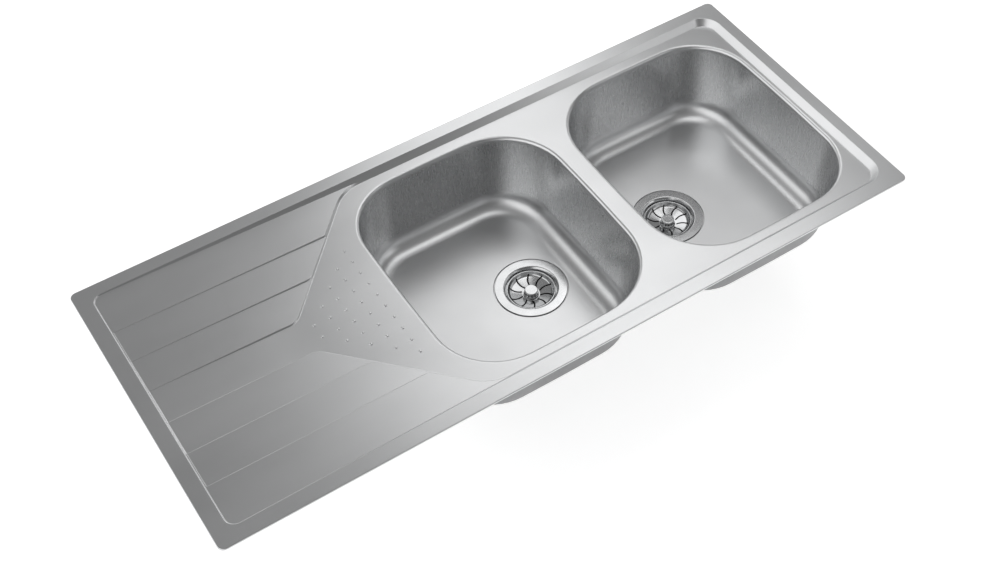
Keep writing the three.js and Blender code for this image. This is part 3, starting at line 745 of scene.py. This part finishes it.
def drip_dots():
    """Columns of 2, 4, 6, 8 and 10 dots."""
    first = drip_dot()
    dots = []
    for column in range(DOT_COLUMNS):
        x = from_left(DOT_FIRST_X + column * DOT_PITCH_X)
        rows = 2 * (column + 1)
        for row in range(rows):
            y = MID_Y + (row - (rows - 1) / 2) * DOT_PITCH_Y
            dots.append(copy_moved(first, "dot", (x, y, 0)))
    bpy.data.objects.remove(first, do_unlink=True)
    return join(dots, "dots")


# ---------------------------------------------------------------- bowl sections


def bowl_corners(bowl, section):
    """A bowl's section; the left bowl's inner side faces +x, and the right bowl is its mirror image."""
    inner, outer, front, back, inner_radius, outer_radius, bow = section
    side_radius = 3.0
    mid_x, mid_y = (inner - outer) / 2, (front + back) / 2
    corners = [
        (-outer + bow, front + bow, outer_radius),
        (mid_x, front, side_radius),
        (inner - bow, front + bow, inner_radius),
        (inner, mid_y, side_radius),
        (inner - bow, back - bow, inner_radius),
        (mid_x, back, side_radius),
        (-outer + bow, back - bow, outer_radius),
        (-outer, mid_y, side_radius),
    ]
    placed = [(bowl["x"] + bowl["side"] * x, from_front(y), radius) for x, y, radius in corners]
    return placed if bowl["side"] > 0 else placed[::-1]


def blend(first, second, share):
    return [a + (b - a) * share for a, b in zip(first, second)]


def wall_section(depth):
    return blend(MOUTH, CREASE, (depth - MOUTH_DEPTH) / (CREASE_DEPTH - MOUTH_DEPTH))


def bowl_ring(bowl, section, depth, grow=0.0):
    return lift(outline(bowl_corners(bowl, section), grow), at_depth(depth))


BOWLS = [
    {"name": "left", "side": 1, "x": from_left(BOWL_MID_X - BOWL_HALF_SPACING)},
    {"name": "right", "side": -1, "x": from_left(BOWL_MID_X + BOWL_HALF_SPACING)},
]
for bowl in BOWLS:
    bowl["drain"] = (bowl["x"] + bowl["side"] * DRAIN_OFFSET, MID_Y)


def deck_lip(bowl, under):
    """The rolled lip that turns from the deck down into a bowl."""
    steps = 8
    radius = LIP_RADIUS - under
    rings = []
    for step in range(steps + 1):
        angle = step / steps * math.pi / 2
        depth = DECK_DEPTH + LIP_RADIUS - radius * math.cos(angle)
        rings.append(bowl_ring(bowl, MOUTH, depth, LIP_RADIUS - radius * math.sin(angle)))
    rings.append(bowl_ring(bowl, wall_section(LIP_DEPTH), LIP_DEPTH, under))
    return draw_rings("lip", rings, capped=False)


def deck_slab(under):
    """A thick slab with the rim's rounded edge round its top."""
    edge_steps = 4
    radius = RIM_EDGE_ROUND - under
    rings = [lift(outline(RIM_CORNERS, -under), at_depth(depth)) for depth in (SLAB_DEPTH, RIM_EDGE_DROP)]
    for step in range(edge_steps + 1):
        angle = step / edge_steps * math.pi / 2
        inset, depth = RIM_EDGE_ROUND - radius * math.cos(angle), RIM_EDGE_ROUND - radius * math.sin(angle)
        rings.append(lift(outline(RIM_CORNERS, -inset), at_depth(depth)))
    return draw_rings("deck_slab", rings)


def pressed_spaces(under):
    """The spaces of the deck, of the outer step and of the two inner terraces."""
    hair = 0.02 * MM
    outer = rectangle(
        from_left(STEP_LEFT),
        from_front(STEP_FRONT + hair),
        from_left(TERRACES[0][3]),
        from_front(WIDTH - STEP_BACK - hair),
        STEP_CORNER,
    )

    def rim(x):
        return 0.0

    wide = {"high_round": 1.0 * MM, "flare": 2 * MM, "above": 6 * MM}
    fine = {"low_round": 0.4 * MM, "high_round": 1.6 * MM, "flare": 1 * MM, "above": 0.4 * MM}
    deck = pocket(
        "deck_space",
        deck_foot_corners(),
        deck_floor_depth,
        rim,
        under,
        True,
        low_round=1.6 * MM,
        stops=EASE_LINES,
        **wide,
    )
    split_across(deck, EASE_LINES)
    spaces = [
        deck,
        pocket("outer_space", outer, plane_depth(0), rim, under, False, low_round=0.8 * MM, **wide),
    ]
    for number in (1, 2):
        corners, floor, parent = terrace_corners(number), plane_depth(number), plane_depth(number - 1)
        spaces.append(pocket("terrace_space", corners, floor, parent, under, False, **fine))
    return spaces


def deck_skin(under):
    """The deck's upper surface or, given the sheet's thickness, its underside, as an open skin."""
    skin = deck_slab(under)
    for space in pressed_spaces(under):
        combine(skin, space, "DIFFERENCE")
    if not under:
        combine(skin, drip_dots(), "UNION")
    for bowl in BOWLS:
        ends = (SLAB_DEPTH + 2 * MM, DECK_DEPTH - 3 * MM)
        mouth = [bowl_ring(bowl, MOUTH, depth, LIP_RADIUS) for depth in ends]
        combine(skin, draw_rings("mouth", mouth), "DIFFERENCE")
    mesh = edit(skin)
    lowest = at_depth(DECK_DEPTH + under + 1 * MM)
    pick(skin, mesh, "FACE", lambda face: face.calc_center_median().z < lowest)
    bpy.ops.mesh.delete(type="FACE")
    leave_edit()
    join([skin, deck_lip(BOWLS[0], under), deck_lip(BOWLS[1], under)], "deck_skin")
    close_slits(skin)
    face_one_way(skin, up=not under)
    return skin


def close_edge(piece, test):
    """Joins the two open edges whose corners pass a test."""
    mesh = edit(piece)
    pick(piece, mesh, "EDGE", lambda edge: edge.is_boundary and all(test(end.co) for end in edge.verts))
    bpy.ops.mesh.bridge_edge_loops()
    leave_edit()


def deck_panel():
    panel = join([deck_skin(0), deck_skin(SHEET)], "deck_panel_skin")
    near = 0.1 * MM
    close_edge(panel, lambda spot: abs(spot.z - at_depth(RIM_EDGE_DROP)) < near)
    between = from_left(BOWL_MID_X)
    close_edge(panel, lambda spot: abs(spot.z - at_depth(LIP_DEPTH)) < near and spot.x < between)
    close_edge(panel, lambda spot: abs(spot.z - at_depth(LIP_DEPTH)) < near and spot.x > between)
    smooth(panel)
    return settle(panel, "sink", "satin_steel", DECK_STEEL, "deck_panel")


deck_panel()


# ---------------------------------------------------------------- bowls


def bowl_skin(bowl):
    fillet_steps = 14
    ease = 1.2 * MM
    wall_depths = (LIP_DEPTH, 50 * MM, 85 * MM, CREASE_DEPTH - ease)
    rings = [bowl_ring(bowl, wall_section(depth), depth) for depth in wall_depths]
    for step in range(fillet_steps + 1):
        angle = step / fillet_steps * math.pi / 2
        if step == 0:
            angle = math.asin(ease / (FLOOR_DEPTH - CREASE_DEPTH))
        section = blend(FLOOR, CREASE, math.cos(angle))
        depth = CREASE_DEPTH + (FLOOR_DEPTH - CREASE_DEPTH) * math.sin(angle)
        rings.append(bowl_ring(bowl, section, depth))
    skin = draw_rings(f"{bowl['name']}_bowl_skin", rings, capped=False)

    edge = 0.5 * MM
    recess_line = [
        (RECESS_RADIUS + edge, FLOOR_DEPTH),
        (RECESS_RADIUS + 0.15 * MM, FLOOR_DEPTH + 0.15 * MM),
        (RECESS_RADIUS, FLOOR_DEPTH + edge),
        (RECESS_RADIUS, RECESS_DEPTH - edge),
        (RECESS_RADIUS - edge, RECESS_DEPTH),
        (DRAIN_HOLE, RECESS_DEPTH),
    ]
    circles = [circle(radius, at_depth(depth), 96, bowl["drain"]) for radius, depth in recess_line]
    recess = draw_rings("recess", circles, capped=False)
    join([skin, recess], skin.name)
    mesh = edit(skin)
    pick(
        skin,
        mesh,
        "EDGE",
        lambda e: e.is_boundary and all(abs(v.co.z - at_depth(FLOOR_DEPTH)) < 0.01 * MM for v in e.verts),
    )
    bpy.ops.mesh.fill(use_beauty=True)
    leave_edit()
    weld(skin)
    face_one_way(skin)
    # The first material is the satin inside steel. The second, on the outer shell, is rougher steel whose
    # darker colour is painted shade.
    for bowl_side_material in (BOWL_STEEL, DULL_STEEL_PAINTED_SHADE):
        skin.data.materials.append(bowl_side_material)
    apply_modifier(skin, "SOLIDIFY", thickness=SHEET, offset=-1, material_offset=1)
    smooth(skin, 40)
    return settle(skin, "sink", "satin_steel", None, f"{bowl['name']}_bowl")


for bowl in BOWLS:
    bowl_skin(bowl)

# ---------------------------------------------------------------- wastes

# Each profile's corners: radius, depth and how far the corner is eased, in millimetres.
STRAINER_LINE = [
    (57.7, 157.2, 0.3), (57.3, 156.5, 0.3), (43.6, 156.5, 1.2), (40.7, 159.5, 0.6), (40.5, 164, 0.3),
    (37.6, 164, 0.6), (34.2, 188, 1.5), (27, 188, 0.6), (26.5, 194, 0.8), (3.6, 194, 0.1),
    (3.6, 195, 0.1), (27.5, 195, 1.0), (28, 189, 0.6), (35.1, 189, 1.5), (38.5, 165.2, 0.6),
    (41.5, 165.2, 0.5), (41.9, 159.7, 0.4), (44, 157.7, 0.4), (57.7, 157.7, 0.2),
]
BASKET_LINE = [
    (4.6, 172.2, 0.2), (13, 172.2, 2), (33.8, 168, 3), (37.2, 161.8, 0.8), (38.8, 161.8, 0.6),
    (39.4, 162.6, 0.4), (39, 163.7, 0.4), (37, 163.7, 0.8), (34.7, 168.8, 3), (13, 173.2, 2),
    (4.6, 173.2, 0.2),
]
KNOB_LINE = [
    (0, 162.15), (6, 162.0, 2), (9.9, 162.0, 0.7), (10.6, 163.4, 0.5), (11.0, 168.5, 2),
    (12.2, 170.6, 0.5), (12.2, 171.6, 0.2), (4.5, 171.6, 0.2), (4.5, 165, 0.2), (0, 165),
]
STEM_LINE = [
    (0, 165.3), (4, 165.3, 0.3), (4, 182.2, 0.3), (10, 182.2, 0.3), (10, 183.4, 0.3), (4, 183.4, 0.3),
    (4, 188, 0.3), (9, 188, 0.3), (9, 189.2, 0.3), (0, 189.2),
]
SEAL_LINE = [
    (4.5, 183.7, 0.2), (30.5, 183.7, 0.5), (31.5, 185.7, 0.8), (30.5, 187.7, 0.5), (4.5, 187.7, 0.2),
]
HOUSING_OUT = [
    (0, 162.6), (50, 162.6, 0.5), (50, 165.6, 0.5), (46.5, 166.6, 1), (43, 172, 3), (40.5, 196, 6),
    (25, 214, 2), (23.7, 217, 1), (23.7, 236, 0.5), (0, 236),
]
HOUSING_IN = [
    (0, 161), (43.2, 161, 0.1), (43.2, 166, 1), (39.6, 171, 2), (37, 195, 5), (20, 214, 2),
    (20, 238, 0.1), (0, 238),
]
CLAMP_SCREW_LINE = [
    (0, 190.2), (5.5, 190.2, 1), (6.5, 191.4, 0.8), (6.5, 193.7, 0.3), (3, 193.7, 0.2), (3, 219, 0.5),
    (0, 219),
]
NUT_LINE = [
    (24.6, 222, 0.5), (24.6, 242.3, 0.3), (20.9, 242.3, 0.3), (20.9, 246, 0.5), (29, 246, 1),
    (29, 222, 1),
]
TAILPIECE_LINE = [
    (18, 239.1, 0.3), (23.5, 239.1, 0.3), (23.5, 242, 0.3), (20, 242, 0.3), (20, 290, 0.4),
    (18, 290, 0.4),
]
BOSS_LINE = [(3.3, 195.3, 0.2), (8, 195.3, 0.5), (8, 222, 0.5), (3.3, 222, 0.2)]
WASHER_LINE = [(18, 236.3, 0.3), (23.5, 236.3, 0.3), (23.5, 238.8, 0.3), (18, 238.8, 0.3)]
FLANGE_GASKET_LINE = [(46, 158, 0.1), (57, 158, 0.1), (57, 158.7, 0.1), (46, 158.7, 0.1)]
UNDER_GASKET_LINE = [(45.5, 160.3, 0.3), (50, 160.3, 0.3), (50, 162.3, 0.3), (45.5, 162.3, 0.3)]

SLOT_COUNT, SLOT_PHASE = 10, -8
SLOT_INNER, SLOT_OUTER, SLOT_BOW, SLOT_WIDTH = 15.5 * MM, 34 * MM, 2.5 * MM, 2.6 * MM


def in_metres(line):
    return [tuple(value * MM for value in corner) for corner in line]


def bar(name, length, width, top, bottom, turn=0.0, start=0.0):
    """A straight bar that runs out from the axis, with eased edges."""
    corners = rectangle(start, -width / 2, start + length, width / 2, min(width * 0.3, 0.6 * MM))
    ring = outline(corners, 0, 3)
    piece = draw_rings(name, [lift(ring, at_depth(bottom)), lift(ring, at_depth(top))])
    piece.data.transform(Matrix.Rotation(turn, 4, "Z"))
    return piece


def strainer_body():
    body = turned("strainer_body", in_metres(STRAINER_LINE))
    holes = 6
    half, hole_in, hole_out = math.radians(22), 10 * MM, 24 * MM
    above, below = at_depth(192 * MM), at_depth(197 * MM)
    for number in range(holes):
        middle = number / holes * 2 * math.pi
        arc = [middle - half + 2 * half * step / 8 for step in range(9)]
        points = [(hole_out * math.cos(a), hole_out * math.sin(a)) for a in arc]
        points += [(hole_in * math.cos(a), hole_in * math.sin(a)) for a in reversed(arc)]
        ring = soften(points, 0.8 * MM, steps=2)
        cutter = draw_rings("hole", [lift(ring, below), lift(ring, above)])
        combine(body, cutter, "DIFFERENCE")
    close_slits(body)
    return body


def slot_ring():
    """One curved slot seen from above: an arc between two radii, bowed anticlockwise, with round ends."""
    def middle(share):
        return Vector((SLOT_INNER + (SLOT_OUTER - SLOT_INNER) * share, SLOT_BOW * (1 - (2 * share - 1) ** 2)))

    half = SLOT_WIDTH / 2
    sides = 8
    points = []
    for turn_back in (False, True):
        for step in range(sides + 1):
            share = 1 - step / sides if turn_back else step / sides
            along = (middle(share + 0.01) - middle(share - 0.01)).normalized()
            across = Vector((along.y, -along.x)) * (-half if turn_back else half)
            points.append(middle(share) + across)
        end = middle(0 if turn_back else 1)
        before, after = (0.02, 0) if turn_back else (0.98, 1)
        along = (middle(after) - middle(before)).normalized()
        across = Vector((along.y, -along.x))
        for angle in (-45, 0, 45):
            a = math.radians(angle)
            points.append(end + along * half * math.cos(a) - across * half * math.sin(a))
    return points


def basket():
    body = turned("basket", in_metres(BASKET_LINE))
    ring = slot_ring()
    above, below = at_depth(163.9 * MM), at_depth(177 * MM)
    first = draw_rings("slot", [lift(ring, below), lift(ring, above)])
    slots = []
    for number in range(SLOT_COUNT):
        angle = math.radians(SLOT_PHASE + 360 / SLOT_COUNT * number)
        slots.append(copy_moved(first, "slot", turn=angle))
    bpy.data.objects.remove(first, do_unlink=True)
    combine(body, join(slots, "slots"), "DIFFERENCE")
    return body


def waste_housing():
    outside = turned("waste_housing", in_metres(HOUSING_OUT))
    combine(outside, turned("inside", in_metres(HOUSING_IN)), "DIFFERENCE")
    boss = turned("boss", in_metres(BOSS_LINE), steps=32)
    ribs = 3
    for number in range(ribs):
        rib = bar("rib", 32 * MM, 2.5 * MM, 200 * MM, 213 * MM, number / ribs * 2 * math.pi, 7 * MM)
        combine(boss, rib, "UNION")
    combine(outside, boss, "UNION")
    return outside


def clamp_screw():
    screw = turned("clamp_screw", in_metres(CLAMP_SCREW_LINE), steps=32)
    slot = bar("slot", 16 * MM, 1.4 * MM, 189 * MM, 191.3 * MM, 0, -8 * MM)
    combine(screw, slot, "DIFFERENCE")
    return screw


def outlet_nut():
    nut = turned("outlet_nut", in_metres(NUT_LINE), steps=64)
    lugs = 8
    for number in range(lugs):
        lug = bar("lug", 4 * MM, 5 * MM, 224 * MM, 244 * MM, number / lugs * 2 * math.pi, 28 * MM)
        combine(nut, lug, "UNION")
    return nut


def round_piece(name, line, steps=96):
    return turned(name, in_metres(line), steps=steps)


# Each piece, the body it rides on, its slot, and its material where that isn't the waste's own steel.
WASTE_PIECES = {
    "strainer_body": (strainer_body(), "sink", "polished_steel", None),
    "basket": (basket(), "basket", "polished_steel", None),
    "plug_knob": (round_piece("plug_knob", KNOB_LINE, 64), "plug", "polished_steel", None),
    "plug_stem": (round_piece("plug_stem", STEM_LINE, 48), "plug", "zinc_steel", ZINC),
    "plug_seal": (round_piece("plug_seal", SEAL_LINE, 64), "plug", "black_rubber", RUBBER),
    "waste_housing": (waste_housing(), "sink", "white_plastic", PLASTIC),
    "clamp_screw": (clamp_screw(), "sink", "zinc_steel", ZINC),
    "outlet_nut": (outlet_nut(), "sink", "white_plastic", PLASTIC),
    "tailpiece": (round_piece("tailpiece", TAILPIECE_LINE, 64), "sink", "white_plastic", PLASTIC),
    "outlet_washer": (round_piece("outlet_washer", WASHER_LINE, 64), "sink", "black_rubber", RUBBER),
    "flange_gasket": (round_piece("flange_gasket", FLANGE_GASKET_LINE), "sink", "black_rubber", RUBBER),
    "under_gasket": (round_piece("under_gasket", UNDER_GASKET_LINE), "sink", "black_rubber", RUBBER),
}
for piece, _, _, _ in WASTE_PIECES.values():
    smooth(piece)
for bowl in BOWLS:
    side = bowl["name"]
    polished = turned_steel(f"polished_steel_{side}", bowl["drain"])
    for part, (pattern, body, slot, material) in WASTE_PIECES.items():
        copy = copy_moved(pattern, f"{side}_{part}_skin", (*bowl["drain"], 0))
        rides_on = "sink" if body == "sink" else f"{side}_{body}"
        settle(copy, rides_on, slot, material or polished, f"{side}_{part}")
for piece, _, _, _ in WASTE_PIECES.values():
    bpy.data.objects.remove(piece, do_unlink=True)

# ---------------------------------------------------------------- carried-over nodes

LOOKS = {"bracket": ZINC, "screw": ZINC, "arm": ZINC, "seal": FOAM, "pad": PAD}
for name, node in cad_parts.items():
    if not node.hide_render:
        look = LOOKS[name.rsplit("_", 1)[-1]]
        for index in range(len(node.material_slots)):
            node.material_slots[index].material = look
        if not node.material_slots:
            node.data.materials.append(look)

# ---------------------------------------------------------------- floor, lights and camera


PAPER_GLOW = 0.62
FLOOR_SIZE = 60


def floor_paper():
    """Pale matt paper that looks white to the camera and in the steel, and still takes the shadow."""
    material, tree, shader, place = new_material("pale_floor")
    shader.inputs["Roughness"].default_value = 0.9
    shade_of(tree, shader, grain_node(tree, place, 3), (0.90, 0.90, 0.90), (0.93, 0.93, 0.93))
    path = add_node(tree, "ShaderNodeLightPath")
    seen = path.outputs["Is Camera Ray"]
    for ray in ("Is Glossy Ray", "Is Transmission Ray"):
        either = add_node(tree, "ShaderNodeMath", operation="MAXIMUM")
        tree.links.new(seen, either.inputs[0])
        tree.links.new(path.outputs[ray], either.inputs[1])
        seen = either.outputs[0]
    glow = add_node(tree, "ShaderNodeMath", operation="MULTIPLY")
    glow.inputs[1].default_value = PAPER_GLOW
    tree.links.new(seen, glow.inputs[0])
    tree.links.new(glow.outputs[0], shader.inputs["Emission Strength"])
    shader.inputs["Emission Color"].default_value = (1, 1, 1, 1)
    return material


bpy.ops.object.select_all(action="DESELECT")
bpy.ops.mesh.primitive_plane_add(size=FLOOR_SIZE, location=(0, 0, cad_low.z - 0.5 * MM))
floor = bpy.context.object
floor.name = "floor"
floor.data.materials.append(floor_paper())

# The studio's brightness by height, 0 at the horizon and 1 overhead: behind the sink, where it has a bright
# horizon, in front of it, where it is dark, and on the left, where it is bright all the way up.
STUDIO_BEHIND = ((0.0, 1.0), (0.32, 1.0), (0.52, 0.28), (0.90, 0.28), (0.97, 0.28))
STUDIO_IN_FRONT = ((0.0, 0.18), (0.55, 0.18), (0.80, 0.24), (0.90, 0.27), (0.97, 0.28))
STUDIO_LEFT = 1.4
# Where one side of the studio gives way to the next, as parts of a direction backwards and to the left.
FRONT_TO_BACK, AROUND_TO_LEFT = (-0.35, 0.25), (0.40, 0.65)


def studio_world():
    world = bpy.data.worlds.new("studio")
    world.use_nodes = True
    sky = world.node_tree
    link = sky.links.new
    direction = add_node(sky, "ShaderNodeTexCoord").outputs["Generated"]
    split = add_node(sky, "ShaderNodeSeparateXYZ")
    link(direction, split.inputs[0])

    def brightness_by_height(stops):
        ramp = add_node(sky, "ShaderNodeValToRGB")
        link(split.outputs["Z"], ramp.inputs["Fac"])
        elements = ramp.color_ramp.elements
        while len(elements) < len(stops):
            elements.new(0.5)
        for element, (position, level) in zip(elements, stops):
            element.position = position
            element.color = (level, level, level, 1)
        return ramp.outputs["Color"]

    def how_far(value, start, end):
        span = add_node(sky, "ShaderNodeMapRange", interpolation_type="SMOOTHSTEP")
        span.inputs["From Min"].default_value = start
        span.inputs["From Max"].default_value = end
        link(value, span.inputs["Value"])
        return span.outputs["Result"]

    share, front, back, halves = colour_mix(sky)
    link(how_far(split.outputs["Y"], *FRONT_TO_BACK), share)
    link(brightness_by_height(STUDIO_IN_FRONT), front)
    link(brightness_by_height(STUDIO_BEHIND), back)

    leftwards = add_node(sky, "ShaderNodeVectorMath", operation="DOT_PRODUCT")
    leftwards.inputs[1].default_value = (-1, 0, 0)
    link(direction, leftwards.inputs[0])
    share, around, left, everywhere = colour_mix(sky)
    link(how_far(leftwards.outputs["Value"], *AROUND_TO_LEFT), share)
    link(halves, around)
    left.default_value = (STUDIO_LEFT, STUDIO_LEFT, STUDIO_LEFT, 1)
    link(everywhere, sky.nodes["Background"].inputs["Color"])
    return world


bpy.context.scene.world = studio_world()


def softbox(name, place, aim, size, radiance):
    """A square soft light at a place, facing an aim, both in metres."""
    lamp = bpy.data.lights.new(name, "AREA")
    lamp.shape = "RECTANGLE"
    lamp.size, lamp.size_y = size
    lamp.energy = radiance * math.pi * size[0] * size[1]
    holder = bpy.data.objects.new(name, lamp)
    bpy.context.collection.objects.link(holder)
    holder.location = place
    holder.rotation_mode = "QUATERNION"
    holder.rotation_quaternion = (Vector(place) - Vector(aim)).to_track_quat("Z", "Y")
    holder.visible_camera = False


softbox("window_behind", (0.76, 1.62, 1.50), (0.05, 0.30, 0.0), (0.66, 1.40), 1.3)
softbox("window_beside", (1.08, 0.92, 1.50), (0.50, 0.30, 0.0), (0.82, 0.58), 1.3)
softbox("lamp_in_front", (1.20, -0.85, 0.85), (0.20, 0.30, -0.1), (0.60, 0.60), 1.2)
softbox("lamp_above", (0.48, 0.34, 1.35), (0.48, 0.33, 0.0), (0.80, 0.50), 1.5)

# The photograph's own camera, worked out from the rim's corners and the round drains, in metres and degrees.
CAMERA_PLACE = (-0.73851, -1.00747, 1.65563)
CAMERA_ANGLES = (39.50606, 0.12712, -33.83251)
CAMERA_LENS, CAMERA_SHIFT = 53.229, (-0.05556, -0.00059)

camera_data = bpy.data.cameras.new("camera")
camera = bpy.data.objects.new("camera", camera_data)
bpy.context.collection.objects.link(camera)
camera.location = CAMERA_PLACE
camera.rotation_euler = [math.radians(angle) for angle in CAMERA_ANGLES]
camera_data.lens = CAMERA_LENS
camera_data.shift_x, camera_data.shift_y = CAMERA_SHIFT
camera_data.clip_start, camera_data.clip_end = 0.05, 100
bpy.context.scene.camera = camera

bpy.context.scene.view_settings.view_transform = "Standard"
